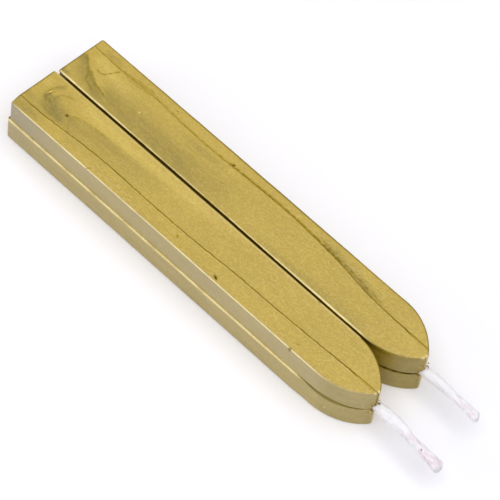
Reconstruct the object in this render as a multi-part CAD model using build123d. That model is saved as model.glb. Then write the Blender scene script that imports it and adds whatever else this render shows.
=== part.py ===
from build123d import *
import math
import os

# A pair of sealing wax sticks lying side by side. Each stick is a flat bar with a pointed nose,
# made of two wax halves that meet at a seam round a cotton wick, whose free end stands out of the tip.
# Millimetres. +X runs from the butt to the wick end, +Y from the front stick to the rear one, +Z is up.
# The origin is on the desk, in the middle of the pair's footprint, wicks included.

# Wax bar
stick_length = 90.0  # butt to tip, without the wick
stick_width = 11.5  # at the seam, where the bar is widest
stick_height = 10.2
seam_height = 5.2  # the lower half's thickness
draft_angle = 0.5  # degrees by which every side leans in away from the seam
flank_radius = 13.0  # the two curved flanks of the nose
tip_radius = 1.0  # the rounded point between the flanks
butt_corner_radius = 0.5
edge_round = 0.3  # round along the edges of the top and bottom faces
seam_round = 0.12  # round along both lips of the seam
tip_overhang = 0.3  # how far the upper half's nose reaches past the lower half's
side_step = 0.1  # how far the upper half lies behind the lower half, towards +Y

# Wick
wick_diameter = 2.2
wick_end_diameter = 2.6  # the cut end is a little spread
wick_flare_length = 5.0  # the stretch over which it spreads
wick_clearance = 0.05  # between the wick and the channel in the wax
butt_recess = 0.3  # the wick's rear end lies this far inside the butt
bend_gap = 0.1  # between the embedded wick and the free end's round root

# Pair
stick_gap = 0.25  # between the two sticks at their seams
rear_offset = 0.45  # how far the rear stick lies ahead of the front one
front_wick_length = 16.4  # from the tip to the cut end
rear_wick_length = 13.2
front_wick_yaw = -3.0  # degrees by which the free end points aside, towards +Y where positive
rear_wick_yaw = 0.5

wick_radius = wick_diameter / 2
channel_radius = wick_radius + wick_clearance
upper_thickness = stick_height - seam_height
bend_ahead = wick_radius + bend_gap  # the wick bends this far ahead of the tip
stick_pitch = stick_width + side_step + stick_gap
pair_length = stick_length + max(front_wick_length, rear_offset + rear_wick_length)


def half_outline(length):
    """Plan of one half at the seam: a bar from the butt at X 0 to a rounded point at X length."""
    half_width = stick_width / 2
    flank_centre_side = flank_radius - half_width
    centre_distance = flank_radius - tip_radius
    nose_reach = math.sqrt(centre_distance**2 - flank_centre_side**2)
    tip_centre = length - tip_radius
    shoulder = tip_centre - nose_reach
    touch_x = tip_centre + tip_radius * nose_reach / centre_distance
    touch_y = tip_radius * flank_centre_side / centre_distance
    edge = Line((0, half_width), (0, -half_width))
    edge += Line((0, -half_width), (shoulder, -half_width))
    edge += TangentArc((shoulder, -half_width), (touch_x, -touch_y), tangent=(1, 0))
    edge += ThreePointArc((touch_x, -touch_y), (length, 0), (touch_x, touch_y))
    edge += TangentArc((shoulder, half_width), (touch_x, touch_y), tangent=(1, 0))
    edge += Line((shoulder, half_width), (0, half_width))
    face = make_face(edge)
    return fillet(face.vertices().group_by(Axis.X)[0], butt_corner_radius)


def wax_half(length, thickness, up):
    """One wax half without the wick's channel, from the seam at Z 0 up or down."""
    direction = (0, 0, 1) if up else (0, 0, -1)
    half = extrude(half_outline(length), amount=thickness, dir=direction, taper=draft_angle)
    flat_face = half.faces().sort_by(Axis.Z)[-1 if up else 0]
    half = fillet(flat_face.edges(), edge_round)
    seam_face = half.faces().sort_by(Axis.Z)[0 if up else -1]
    return fillet(seam_face.edges(), seam_round)


def rod_along_x(radius, start, end):
    """A round rod on the wick's line."""
    rod = Cylinder(radius, end - start, align=(Align.CENTER, Align.CENTER, Align.MIN))
    return Pos(start, 0, 0) * Rot(0, 90, 0) * rod


def wick_tail(free_length, yaw):
    """The free end: a round root ahead of the tip, a straight run and a spread cut end, turned by yaw."""
    diagonal = wick_radius * math.sqrt(0.5)
    cut = free_length - bend_ahead
    flare_start = cut - wick_flare_length
    end_radius = wick_end_diameter / 2
    edge = ThreePointArc((-wick_radius, 0), (-diagonal, diagonal), (0, wick_radius))
    edge += Line((0, wick_radius), (flare_start, wick_radius))
    edge += Line((flare_start, wick_radius), (cut, end_radius))
    edge += Line((cut, end_radius), (cut, 0))
    edge += Line((cut, 0), (-wick_radius, 0))
    tail = revolve(make_face(edge), Axis.X)
    return Pos(stick_length + bend_ahead, 0, 0) * Rot(0, 0, yaw) * tail


def stick_pieces(free_length, yaw):
    """The four pieces of one stick, with the butt at X 0 and the seam at Z 0."""
    upper = Pos(0, side_step / 2, 0) * wax_half(stick_length, upper_thickness, up=True)
    lower = Pos(0, -side_step / 2, 0) * wax_half(stick_length - tip_overhang, seam_height, up=False)
    channel = rod_along_x(channel_radius, -channel_radius, stick_length + channel_radius)
    return {
        "upper_half": upper - channel,
        "lower_half": lower - channel,
        "wick_core": rod_along_x(wick_radius, butt_recess, stick_length),
        "wick_tail": wick_tail(free_length, yaw),
    }


os.makedirs("parts", exist_ok=True)
pair = [
    ("front", 0.0, -stick_pitch / 2, front_wick_length, front_wick_yaw),
    ("rear", rear_offset, stick_pitch / 2, rear_wick_length, rear_wick_yaw),
]
for stick_name, ahead, aside, free_length, yaw in pair:
    place = Pos(ahead - pair_length / 2, aside, seam_height)
    for piece_name, piece in stick_pieces(free_length, yaw).items():
        export_step(place * piece, f"parts/{stick_name}_{piece_name}.step")
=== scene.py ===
import math

import bmesh
import bpy
import numpy as np
from mathutils import Matrix, Vector


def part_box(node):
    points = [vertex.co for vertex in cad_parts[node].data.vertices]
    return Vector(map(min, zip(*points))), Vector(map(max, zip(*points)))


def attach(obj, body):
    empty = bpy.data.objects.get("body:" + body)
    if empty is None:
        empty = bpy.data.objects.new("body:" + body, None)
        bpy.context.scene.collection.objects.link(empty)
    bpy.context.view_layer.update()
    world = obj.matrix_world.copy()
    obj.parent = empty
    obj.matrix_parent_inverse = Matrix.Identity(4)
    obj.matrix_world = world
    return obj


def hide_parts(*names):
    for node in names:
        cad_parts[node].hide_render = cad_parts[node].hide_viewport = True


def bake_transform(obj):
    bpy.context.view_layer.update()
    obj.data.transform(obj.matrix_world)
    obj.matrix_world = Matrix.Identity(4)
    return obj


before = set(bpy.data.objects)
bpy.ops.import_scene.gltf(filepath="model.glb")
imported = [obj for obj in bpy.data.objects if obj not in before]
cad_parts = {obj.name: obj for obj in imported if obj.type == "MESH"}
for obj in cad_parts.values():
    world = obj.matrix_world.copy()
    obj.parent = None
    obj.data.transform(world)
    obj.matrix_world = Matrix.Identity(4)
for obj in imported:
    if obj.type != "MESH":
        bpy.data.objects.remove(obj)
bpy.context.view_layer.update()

# Two gold sealing wax sticks lying side by side, each cast in two halves round a cotton wick.
# Shapes are worked out in millimetres in a stick's own frame: x from the butt to the tip,
# y across from the stick's centre line, z up from the seam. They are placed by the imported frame.
mm = 0.001
scene = bpy.context.scene

# Wax bar, in millimetres
flank_radius = 13.0
tip_radius = 1.0
butt_corner_radius = 0.5
draft = math.tan(math.radians(0.5))
edge_round = 0.26
upper_lip_round = 0.1
lower_lip_round = 0.15
seam_gap = 0.03  # half the slit that is left all along the seam
channel_radius = 1.15
nose_length = 12.0
nose_fade = 5.0  # the stretch over which the looks of the nose set in
tip_skew = 0.35  # how far the point of the nose leans towards -y
lean_power = 1.5  # how late along the nose that lean comes
rear_bow = 0.08  # how far the rear bar bends aside at its middle
bottom_sink = 0.06  # how far the underside is drawn in
relief_foot = 0.55  # share of the thickness at which the flat face's relief sets in
sharp_angle = 38.0  # degrees from which on two faces meet in a sharp edge
side_facing, butt_facing = 0.3, 0.5  # share of a normal that makes a wall face the sides or the butt
ledge = 0.15  # how far the lower half stands out along the near side and the butt
ledge_end, ledge_fade = 76.5, 4.0  # where it ends along the stick, and over which length
# How far each upper half draws back from the other: x and depth
gap_relief = {
    "front": [(0, 0.1), (25, 0.07), (50, 0.02), (75, 0.0)],
    "rear": [(0, -0.05), (15, -0.07), (25, -0.03), (45, -0.01), (55, -0.08), (65, -0.11), (73, -0.18),
             (84, 0.0)],
}
# The hollow in the facing walls of the upper halves
hollow_depth = 0.32
hollow_top, hollow_slope = 0.3, 0.45  # where it starts below the top, and the height over which it deepens
hollow_foot = 2.0  # the height over which it runs out above the seam
hollow_end = (74, 6)  # where it starts to fade along the stick, and over which length
# The front bar's near corner at the butt: how far it sinks and draws back, over which width and length
corner_droop, droop_width, droop_length = 0.12, 2.6, 6.0
corner_shift, shift_width, shift_length = 0.2, 2.8, 2.5
shift_start = 3.0  # how far from the centre line it starts to draw back

# Opening of the groove that the seam has round the nose: x and height
groove_openings = {
    "front": [(76.5, 0.0), (78.5, 0.2), (80.5, 0.5), (82.3, 0.7), (84.5, 0.54), (87.5, 0.34), (90, 0.2)],
    "rear": [(74, 0.0), (78, 0.24), (82, 0.5), (85, 0.62), (88, 0.56), (90, 0.4)],
}
groove_depth = {"front": 0.15, "rear": 0.25}
groove_ramp = 0.25  # the opening at which the groove is fully deep

# The wick's mouth: a channel with a ragged end, and chipped wax round it
mouth_depth, mouth_flare = 1.4, 0.12  # where the ragged end starts, and how much wider it is at the tip
mouth_jags = [(0.12, 5, 1.0, 0.0), (0.1, 9, 2.4, 0.0), (0.08, 14, 0.0, 2.0)]  # size, count, phase, twist
chip_start, chip_fade = 1.7, 1.2  # where the chips start, from the tip
chip_top, chip_slope = 4.2, 1.5  # how far they reach from the seam
chip_narrowing = 1.3  # how much narrower than high they are
crease_notch, notch_width = 0.1, 0.1  # where the crease runs over the tip's edge
edge_pit_reach = 0.9  # a pit this close to the near side cuts into its wall too
# Loose crumbs: x from the tip, y and z from the channel's line, size, how dark, and painted highlight
mouth_crumbs = {
    "front": [
        (0.15, 0.35, 1.35, 0.32, 0.75, 0.0), (-0.05, -0.35, 1.45, 0.3, 0.6, 0.0),
        (0.05, 0.95, 1.1, 0.26, 0.8, 0.0), (-0.25, -0.9, 0.95, 0.3, 0.6, 0.0),
        (-0.15, -1.35, 0.1, 0.3, 0.0, 1.0), (-0.5, -1.25, -0.3, 0.24, 0.5, 0.0),
        (-0.1, 0.7, 1.8, 0.22, 0.5, 0.0),
    ],
    "rear": [
        (0.0, 0.75, 1.6, 0.3, 0.85, 0.0), (-0.2, 0.95, 2.1, 0.24, 0.7, 0.0),
        (0.05, 0.0, 1.4, 0.24, 0.7, 0.0), (0.05, 0.95, 0.9, 0.24, 0.7, 0.0),
        (-0.35, -1.1, 0.4, 0.34, 0.65, 0.0), (-0.55, -1.2, 0.0, 0.3, 0.75, 0.0),
    ],
}
crumb_corners, crumb_spread, crumb_shape = 9, 0.5, (1.0, 0.7, 0.5)  # of each crumb, before its size
crumb_seeds = {"front": 21, "rear": 22}

# Waves of the wax's faces and of its paint: height, shortest and longest wave, number of waves and seed
top_swell = (0.035, 9, 30, 14, 3)
top_ripple = (0.01, 1.2, 4.0, 30, 23)
crumbly_ripple = (0.045, 0.6, 1.8, 30, 33)
bottom_swell = (0.03, 8, 25, 14, 31)
wall_swell = (0.018, 6, 24, 14, 50)
wall_ripple = (0.006, 0.8, 3.0, 24, 51)
lip_ripple = (0.02, 0.5, 2.0, 24, 52)
mouth_chips = (0.16, 0.5, 1.6, 24, 53)
crease_patches = (0.2, 2.0, 14.0, 14, 71)
flow_bands = (0.15, 0.3, 1.3, 18, 77)
edge_patches = (0.3, 1.5, 9.0, 14, 91)
ledge_patches = (0.45, 0.9, 7.0, 14, 93)
groove_patches = (0.25, 0.5, 2.5, 24, 95)
crumb_patches = (0.5, 0.5, 1.6, 30, 97)
top_shift = {"front": 0, "rear": 5}  # added to the seeds of the top faces
wall_shift = {"front": 0, "rear": 10}  # and of the walls
upper_shift = 5  # and once more for the walls of the upper halves
swell_squeeze = 3  # how much closer the walls' swell lies upwards
lip_ripple_reach = 0.15  # how far from the seam the ripple of its lips shows

# Fineness of the meshes: millimetres along the stick and rows across it
upper_step = 0.2
lower_step = 0.3
rows_beside_crease = {"front": (22, 46), "rear": (56, 22)}  # on the near side and on the far side of it
crease_rows = (-0.6, -0.38, -0.24, -0.15, -0.1, -0.05, 0.0, 0.05, 0.1, 0.15, 0.24, 0.38, 0.6)
crease_margin, crease_room = 0.2, 0.6  # shares of the width kept beside the crease and given to its rows
wall_rows = 14
round_steps = 5
corner_points = 7
bow_reach = 2.0  # the stretch over which the rows bow out to meet the round tip
cutter_sides = 48
cutter_reach = 2.0  # how far the channel's cutter reaches past both ends
plain_end, plain_rings = 2.5, 8  # where its plain stretch ends, from the tip
ragged_start, ragged_rings = 2.2, 22  # and where the rings of its ragged end start

# The crease that the mould leaves along each top face: points as x, y
crease_lines = {
    "front": [(0, -3.1), (4, -3.3), (9, -3.0), (15, -2.4), (22, -2.05), (35, -2.2), (45, -2.05), (55, -1.5),
              (65, -1.4), (75, -1.05), (84, -0.7), (92, -0.6)],
    "rear": [(0, 3.4), (7, 3.15), (12, 3.3), (16, 3.6), (24, 3.1), (31.5, 2.85), (40, 3.3), (50, 3.5),
             (57, 3.3), (65, 2.7), (73, 1.5), (79, 1.15), (92, 1.0)],
}
# Where the wax beside the crease has broken up: points and half width
crumbly_lines = {
    "front": [([(18, -4.2), (24, -4.4), (31, -4.6)], 0.9)],
    "rear": [
        ([(7, 3.4), (12, 3.5), (16, 3.8), (22, 3.3)], 0.7),
        ([(57, 3.9), (63, 3.5), (68, 2.9), (73, 2.3), (78, 2.0)], 1.1),
    ],
}
crease_depth = 0.1
crease_width = 0.06
crease_averaging = range(-3, 4)  # millimetres along x over which its line is rounded off
crease_wobble = [(0.02, 1.7, 0.0), (0.015, 3.1, 1.3)]  # size, turn per millimetre and phase
burr_height, burr_distance, burr_width = 0.015, 0.2, 0.1  # of the burrs along both its sides
crease_step, step_width = 0.03, 0.4  # how far the outer side of the crease lies lower

# Grooves of the top face: points, half width, depth and how dark they are
grooves = {
    "front": [
        ([(20.2, -5.9), (20.7, -5.3), (21.0, -4.6)], 0.16, 0.1, 0.4),
        ([(4.5, 4.9), (3.5, 3.5), (2.95, 2.3), (2.85, 1.25), (3.4, 0.1), (4.5, -0.65)], 0.16, 0.03, 0.22),
        ([(4.9, 4.3), (4.0, 3.4), (3.65, 2.5)], 0.12, 0.025, 0.16),
        ([(8.4, 3.7), (7.5, 3.6), (6.6, 3.2), (5.7, 2.9), (5.1, 2.2), (5.0, 1.3), (5.2, 0.6)],
         0.14, 0.03, 0.2),
        ([(7.8, 2.6), (6.4, 2.35), (5.6, 1.6)], 0.12, 0.025, 0.14),
        ([(3.4, 0.65), (3.5, 1.3), (3.65, 1.85), (3.95, 2.4)], 0.11, 0.09, 0.7),
        ([(4.0, 0.45), (4.7, -0.05), (5.6, 0.05)], 0.14, 0.03, 0.2),
        ([(4.4, -1.35), (5.7, -1.8), (7.7, -2.0), (9.5, -2.15)], 0.14, 0.02, 0.12),
        ([(9.4, 0.15), (10.1, 0.7), (11.0, 1.1), (12.3, 1.5), (13.8, 1.7), (15.1, 1.9), (18, 2.1)],
         0.14, 0.03, 0.25),
    ],
    "rear": [
        ([(0.5, 1.2), (1.45, 0.5), (3.4, -1.2), (4.8, -1.9), (5.9, -2.35)], 0.3, 0.07, 0.22),
        ([(3.8, -0.9), (5.2, -1.75), (6.7, -2.65), (8.7, -3.15), (10.2, -3.5)], 0.2, 0.05, 0.3),
        ([(3.6, -1.35), (4.5, -2.6), (4.9, -3.3), (6.4, -3.75), (8.1, -4.4)], 0.22, 0.04, 0.22),
        ([(4.6, -0.2), (5.7, -0.3), (6.4, 0.0), (6.85, 0.8), (7.35, 1.75), (8.0, 3.0)], 0.15, 0.05, 0.48),
        ([(2.7, 3.4), (3.5, 3.9), (4.7, 3.75)], 0.12, 0.05, 0.3),
        ([(8.4, 3.6), (10.5, 3.75), (12.5, 4.0), (14.5, 4.05), (17, 3.9)], 0.26, 0.05, 0.2),
        ([(9.5, 2.9), (12, 2.85), (14.5, 3.1), (16, 3.4)], 0.26, 0.04, 0.18),
        ([(2, 3.4), (7, 3.25), (12, 3.4), (16, 3.55), (24, 3.15), (31, 2.95), (38, 3.2)], 0.3, 0.03, 0.22),
        ([(38.0, -0.85), (38.6, -1.05), (39.05, -0.45)], 0.08, 0.06, 0.4),
        ([(36, 3.3), (42, 3.45), (48, 3.65), (54, 3.6), (60, 3.25), (66, 2.75)], 0.28, 0.05, 0.45),
        ([(58, 3.8), (64, 3.3), (69, 2.7), (74, 2.1), (78, 1.8)], 0.5, 0.05, 0.15),
    ],
}
stroke_overrun, stroke_fade = 0.2, 0.8  # how far a groove runs past its ends, and how it fades there

# Pits and specks of the top face: x, y, half length, half width, turn in degrees, depth and how dark; a
# negative darkness paints a pale spot instead, at the front's first one a painted highlight on its eye dent
pits = {
    "front": [
        (3.3, 1.45, 0.45, 0.13, 80, -0.03, -1.0),
        (9.35, 0.02, 0.24, 0.2, 0, 0.2, 1.0),
        (53.3, -4.78, 0.42, 0.17, -25, 0.2, 1.0),
        (72.9, -5.75, 0.25, 0.3, 0, 0.16, 0.35),
        (42.3, -3.6, 0.25, 0.2, 0, 0.05, 0.4),
        (69.4, 5.4, 0.25, 0.12, 0, 0.05, 0.4),
        (73.2, -3.9, 0.3, 0.12, 30, 0.05, 0.3),
    ],
    "rear": [
        (17.1, -1.2, 0.2, 0.16, 0, -0.08, -0.9),
        (37.2, 3.55, 0.25, 0.2, 30, 0.08, 1.0),
        (21.5, 4.4, 0.2, 0.15, 0, 0.04, 0.4),
    ],
}
pit_steepness, pit_softness = 1.5, 0.4  # of a pit's walls and of its darkening

# Pale specks of the near walls: x, height from the seam and radius
side_specks = {
    "front": [(1.9, 3.3, 0.22), (80.4, -1.4, 0.14), (82.6, -3.0, 0.16), (22.0, 3.6, 0.12)],
    "rear": [],
}

# Flow of darker wax: points, fade to the left and to the right of the line, fade at both ends, strength
flows = {
    "front": [
        ([(9.4, -0.2), (10.2, 0.4), (11.5, 1.0), (13.4, 1.35), (15.1, 1.6), (18, 1.9), (24, 2.3),
          (32, 2.8), (42, 3.2)], 0.2, 4.4, 0.6, 26.0, 0.4),
        ([(3.4, 1.6), (3.9, 0.3), (5.0, -0.6), (6.4, -1.2), (9.1, -1.6), (13, -1.6)],
         2.4, 1.1, 1.0, 5.0, 0.75),
        ([(4.5, 4.9), (3.5, 3.5), (2.95, 2.3), (2.85, 1.25), (3.4, 0.1)], 0.9, 0.35, 1.2, 1.2, 0.35),
        ([(7.6, 3.6), (6.4, 3.5), (5.3, 2.7), (5.0, 1.7), (5.2, 0.6)], 0.4, 0.3, 1.2, 1.2, 0.3),
        ([(0, -1.6), (3, -1.9), (10, -2.2)], 0.7, 0.7, 0.5, 4.0, 0.4),
        ([(-1, -4.6), (9, -4.6)], 1.6, 1.6, 0.5, 6.0, 0.5),
    ],
    "rear": [
        ([(0.3, 1.0), (1.5, 0.4), (3.4, -1.2), (5.5, -2.5), (7.5, -3.3), (11, -4.4)],
         0.3, 2.4, 0.5, 3.0, 0.62),
        ([(3.8, -0.9), (5.2, -1.75), (6.7, -2.65), (8.7, -3.15)], 0.25, 0.4, 0.5, 1.2, 0.3),
        ([(7, -3.6), (20, -3.9), (50, -4.6)], 3.7, 3.0, 3.0, 22.0, 0.5),
        ([(-1, -5.2), (3, -5.0)], 0.8, 0.8, 0.4, 2.0, 0.7),
        ([(2, 4.1), (9, 4.1)], 0.6, 0.6, 2.0, 4.0, 0.4),
        ([(24, 1.0), (38, 1.6)], 0.8, 0.8, 6.0, 6.0, 0.25),
        ([(57, 3.7), (63, 3.3), (68, 2.7), (73, 1.9), (78, 1.5)], 1.1, 0.5, 5.0, 6.0, 0.5),
        ([(45, -5.2), (82, -5.4)], 1.4, 1.4, 20.0, 8.0, 0.4),
    ],
}

# Lighter wax, in the same form as the flows
lights = {
    "front": [
        ([(6.5, 4.4), (12, 3.8), (24, 3.6), (40, 4.2), (58, 4.6)], 1.6, 1.3, 6.0, 22.0, 0.2),
        ([(0.8, 4.2), (1.6, 1.8)], 1.0, 0.7, 0.8, 0.8, 0.2),
    ],
    "rear": [
        ([(2.0, 2.6), (5, 1.6), (9, 0.6), (15, 0.4)], 1.4, 1.4, 1.5, 4.0, 0.2),
    ],
}
flow_stretch, flow_slant = 0.12, 0.06  # of the bands in the flows

# Paint of the walls and the seam: shares from 0 to 1, depths and heights in millimetres
wall_depth = 0.3  # points this close to the near side belong to its wall
nose_flow = {"front": 0.5, "rear": 0.55}  # darker wax on the near wall of the nose
lower_flow = 0.55  # and its share along the lower half
seam_cover, groove_cover = 0.12, 0.05  # how far in the seam's painted shade starts, and where the groove is open
seam_spread = 0.05  # how far past the slit it shows
seam_shade, open_seam_shade = 0.8, 0.18  # painted shade in the slit, and where the front groove is open
groove_flow, lip_flow, lip_shade = 0.5, 0.6, 0.1  # darker wax in the front groove and on its lower lip, and painted shade on that lip
lip_band, lip_band_fade = 0.2, 0.1  # how far that lip's paint reaches from the groove
crumbling_shade, crumbling_limits = 0.65, (0.2, 0.9)  # painted shade in the rear groove, broken up in patches
nose_shade = 0.13  # painted shade on the near wall of the rear nose
wedge_shade, wedge_place, wedge_reach = 0.2, 80.5, 2.6  # and more painted shade where the front nose comes close to it
speck_depth = 0.5  # how far in from the near side the pale specks show
reflection_share = {"front": 1.0, "rear": 0.0}  # painted grey reflection of the floor on the near walls
lower_reflection = 0.4  # its share on the lower half
nose_reflection_loss, butt_reflection, butt_reflection_reach = 0.7, 0.7, 16.0  # less on the nose, more at the butt

# Paint of the top face and its edges, in the same units
top_depth, top_fade, rim_width = 1.2, 0.8, 0.05  # how far down and how close to the sides it reaches
crease_shade, crease_line, crease_fade = 0.78, 0.09, 0.4  # painted shade in the crease: its darkness, half width, fade
crease_drop, crease_foot = 0.4, -0.1  # how far down the butt and the tip the crease is dark
faint_crease, faint_start, faint_end = 0.3, (12, 8), (34, 6)  # the rear stretch where it is fainter
gap_shade, gap_shade_reach = 0.92, 0.8  # painted shade on the walls that face each other
gap_shade_start, gap_shade_foot, gap_shade_end = (0.15, 0.15), (0.9, 0.9), (78.5, 9.0)  # below the top and along x
edge_shade, edge_shade_nose = 0.8, 0.3  # painted shade along the butt's top edge and the far top edge, and the share of the nose from which the front has it
edge_shade_inset, edge_shade_drop, edge_shade_width = 0.12, 0.06, 0.22
groove_darkness, groove_limits = 0.9, (0.2, 1.5)  # how the dark of the grooves varies
flow_crumbs, flow_limits = 0.9, (0.2, 2.0)  # how the flows break up where the wax is crumbly
# The painted highlight lines along the top edges: side, middle from the side and from the top, half width,
# strength
edge_highlight_lines = {
    "front": [("near", 0.1, 0.1, 0.18, 1.0), ("far", 0.4, 0.0, 0.28, 0.2)],
    "rear": [("near", 0.14, 0.03, 0.17, 1.0)],
}
edge_highlight_mean, edge_highlight_fade, nose_highlight_loss = 0.9, 0.1, 0.8  # of these lines
tip_highlights = [(-0.35, -1.08), (-0.15, -0.14)]  # painted highlight spots at the tip: x from it and y
tip_highlight_area, tip_highlight_depth = 0.1, 0.3  # square of their radius, and how far down they reach
ledge_highlight_mean, ledge_highlight_fade, ledge_highlight_share = 0.85, 2.0, 0.7  # of the painted highlight on the ledge's lip
ledge_highlight_depth, ledge_highlight_height, ledge_highlight_slope = 0.06, 0.26, 0.12  # of the painted highlight strip along the ledge
grain_mean, grain_gain, grain_reach, grain_crumbs = 0.35, 0.45, 70, 0.3  # coarser towards the nose
grain_depth, grain_fade = 0.3, 0.25  # how far below the top it shows

# Colours, as red, green and blue from 0 to 255
wax_tints = {
    "deep": (193, 166, 54), "light": (203, 175, 62), "streak": (178, 146, 38), "flow": (123, 109, 7),
    "pale_and_highlight": (255, 227, 116), "dark_grain": (152, 122, 24), "light_grain": (236, 208, 112),
    "painted_reflection": (141, 132, 102), "painted_highlight": (255, 238, 172), "dirt_and_shade": (58, 40, 5),
}
cotton_tints = {
    "deep": (255, 250, 251), "light": (255, 255, 254), "patch": (255, 244, 248), "dull": (214, 197, 201),
    "shade": (243, 230, 236), "soot": (96, 78, 84),
}

# Wick: its line past the tip, as x from the tip, y and z from the channel's line
wick_lines = {
    "front": [(-3, 0.0, 0.0), (0.3, 0.3, 0.1), (2.3, 0.1, 0.15), (4.2, 0.15, 0.1), (6.4, 0.15, 0.0),
              (8.4, -0.3, -0.05), (11.2, -0.42, -0.1), (14.0, -0.65, -0.1), (16.2, -0.9, -0.1)],
    "rear": [(-3, 0.0, 0.0), (0.4, 0.1, 0.05), (2.6, 0.3, 0.05), (4.8, 0.3, 0.0), (7.0, 0.25, -0.05),
             (9.2, 0.28, -0.1), (11.2, 0.12, -0.1), (13.1, -0.1, -0.1)],
}
# Turn of its two plies in degrees along that line, from +y towards +z: x from the tip and angle
wick_turns = {
    "front": [(-90, -1500), (0, -60), (3.5, 35), (8.4, 118), (13, 190), (16.4, 205)],
    "rear": [(-90, -1500), (0, -20), (3.0, 60), (6.6, 125), (9, 190), (13.2, 210)],
}
# Its half thickness: x from the tip and radius
wick_radii = {
    "front": [(-90, 1.0), (-1, 1.02), (0.6, 1.12), (2.6, 1.2), (4.2, 1.16), (6.2, 1.06), (8.5, 0.9),
              (11, 0.9), (14, 0.88), (16.4, 1.02)],
    "rear": [(-90, 1.0), (-1, 1.02), (1.0, 1.02), (4.0, 0.98), (6.4, 0.92), (7.0, 0.8), (9, 0.74),
             (11.5, 0.72), (13.2, 0.88)],
}
# Depth of the valleys between its plies, flatness and lumpiness: x from the tip and share of the radius
wick_valleys = {
    "front": [(-90, 0.06), (3, 0.05), (7, 0.06), (11, 0.07), (16.4, 0.06)],
    "rear": [(-90, 0.06), (6, 0.04), (7.4, 0.16), (13.2, 0.12)],
}
wick_flatness = {
    "front": [(-90, 0.03), (4, 0.04), (8, 0.1), (11, 0.16), (16.4, 0.18)],
    "rear": [(-90, 0.03), (6, 0.03), (7.4, 0.12), (13.2, 0.18)],
}
wick_lumpiness = {
    "front": [(-90, 0.0), (-1, 0.0), (0.5, 0.05), (2, 0.12), (5, 0.11), (8, 0.07), (11, 0.04), (16.4, 0.05)],
    "rear": [(-90, 0.0), (-1, 0.0), (0.5, 0.02), (6.5, 0.03), (7.5, 0.05), (13.2, 0.07)],
}
route_fineness = 16  # points of the smoothed line for each point given
wick_step, wick_hidden_step = 0.14, 1.5  # between its rings, in the open and in the stick
butt_recess = 0.3  # how far inside the butt it ends
hidden_end = 0.5  # how far before the free line the hidden rings end
wick_sides = 72
wick_seeds = {"front": 11, "rear": 12}
valley_width = 0.32  # of the valleys between the plies
yarns_round, yarn_relief = 9, 0.025
yarn_sway, yarn_turn = 0.6, 1.1  # how the yarns wander along the wick
lump_waves, slowest_lump = 16, 0.15  # share of the quickest wave
lump_form, fuzz_form, cut_form = (4.5, 7), (16.0, 18), (1.0, 9)  # quickest wave, and most waves round
wick_fuzz, fuzz_start = 0.025, (-0.5, 1.5)  # its height, and where it sets in
valley_shade, yarn_shade, lump_shade, fuzz_shade, fibre_shade = 1.4, 0.08, 2.1, 0.07, 0.1
cut_roughness = 0.3  # how uneven the cut end is
cut_slant = 1.0  # and how far its lower edge reaches past its upper one
cut_stretch = 3.0  # the stretch of the wick that is drawn back for that
cut_lobes = 3  # how much finer the cut is uneven than the lumps are
cap_rings, cap_opening, cap_roughness = 7, 0.3, 0.03  # of the rings that close its ends
cap_reach = 0.1  # how far the cut end bulges
butt_bulge = 0.2  # share of that at the butt
loose_fibres = 90
fibre_radius, fibre_taper, fibre_sides, fibre_rings = 0.011, 0.6, 6, 6
fibre_start, fibre_spread = 0.8, 0.6  # where they start from the tip, and how they crowd to the cut end
fibre_root = 0.05  # how far below the surface they start
fibre_nudge = 0.001  # keeps the bend of a fibre from lying along its heading
fibre_reach, fibre_lift, fibre_curl, fibre_stray = (0.3, 0.9), (0.02, 0.12), (0.05, 0.25), 0.1
soot_spots = {"front": [(11.5, -0.9, 0.16)], "rear": []}  # x from the tip, y and radius
soot_height = 0.3  # they show above this height
# How grey and fibrous the wick is: x from the tip and share
wick_dullness = {
    "front": [(-90, 0.3), (0, 0.2), (3, 0.1), (6.5, 0.15), (8.5, 0.75), (11, 1.0), (15, 0.9), (16, 0.5)],
    "rear": [(-90, 0.3), (0, 0.15), (6.5, 0.2), (8, 0.45), (11.6, 0.5), (12.8, 0.3)],
}

# Camera: place in metres, turn, height over the horizon and roll in degrees, lens in millimetres
camera_place = (0.21436, -0.28438, 0.49851)
camera_turn = 37.19
camera_height = 54.0
camera_roll = 9.66
camera_lens = 241.48
camera_sensor = 36.0

# Soft boxes: name, direction, width and height in metres, and watts
soft_boxes = [
    ("overhead", (0.3, -0.12, 1.0), 1.2, 1.2, 7.7),
    ("left", (-1.0, 0.1, 0.45), 0.5, 0.4, 1.6),
    ("near_left", (-0.5, -0.75, 0.5), 0.4, 0.3, 1.0),
]
soft_box_distance = 0.9
soft_box_tint = (1.0, 0.99, 0.97)
fill_level = 0.38
fill_colour = (0.89, 0.89, 1.06, 1)
floor_colour = (0.86, 0.86, 0.87, 1)
floor_glow = 0.13  # extra white of the floor as the camera sees it
floor_shine = 0.25  # and as it shows in the wax
floor_half = 3.0


def smooth(value):
    """Goes from 0 to 1 with level ends while value goes from 0 to 1."""
    t = np.clip(value, 0.0, 1.0)
    return t * t * (3 - 2 * t)


def rise(value, start, span):
    """Goes from 0 to 1 with level ends while value runs through a span from start."""
    return smooth((value - start) / span)


def bell(value):
    """A soft bump, 1 where value is 0."""
    return np.exp(-(value**2))


def round_angles(count):
    """Angles of count points spread round a circle."""
    return np.linspace(0, 2 * math.pi, count, endpoint=False)


def along_table(table, x):
    """Value at x on a line through the table's pairs of x and value."""
    pairs = np.array(table, float)
    return np.interp(x, pairs[:, 0], pairs[:, 1])


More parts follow.
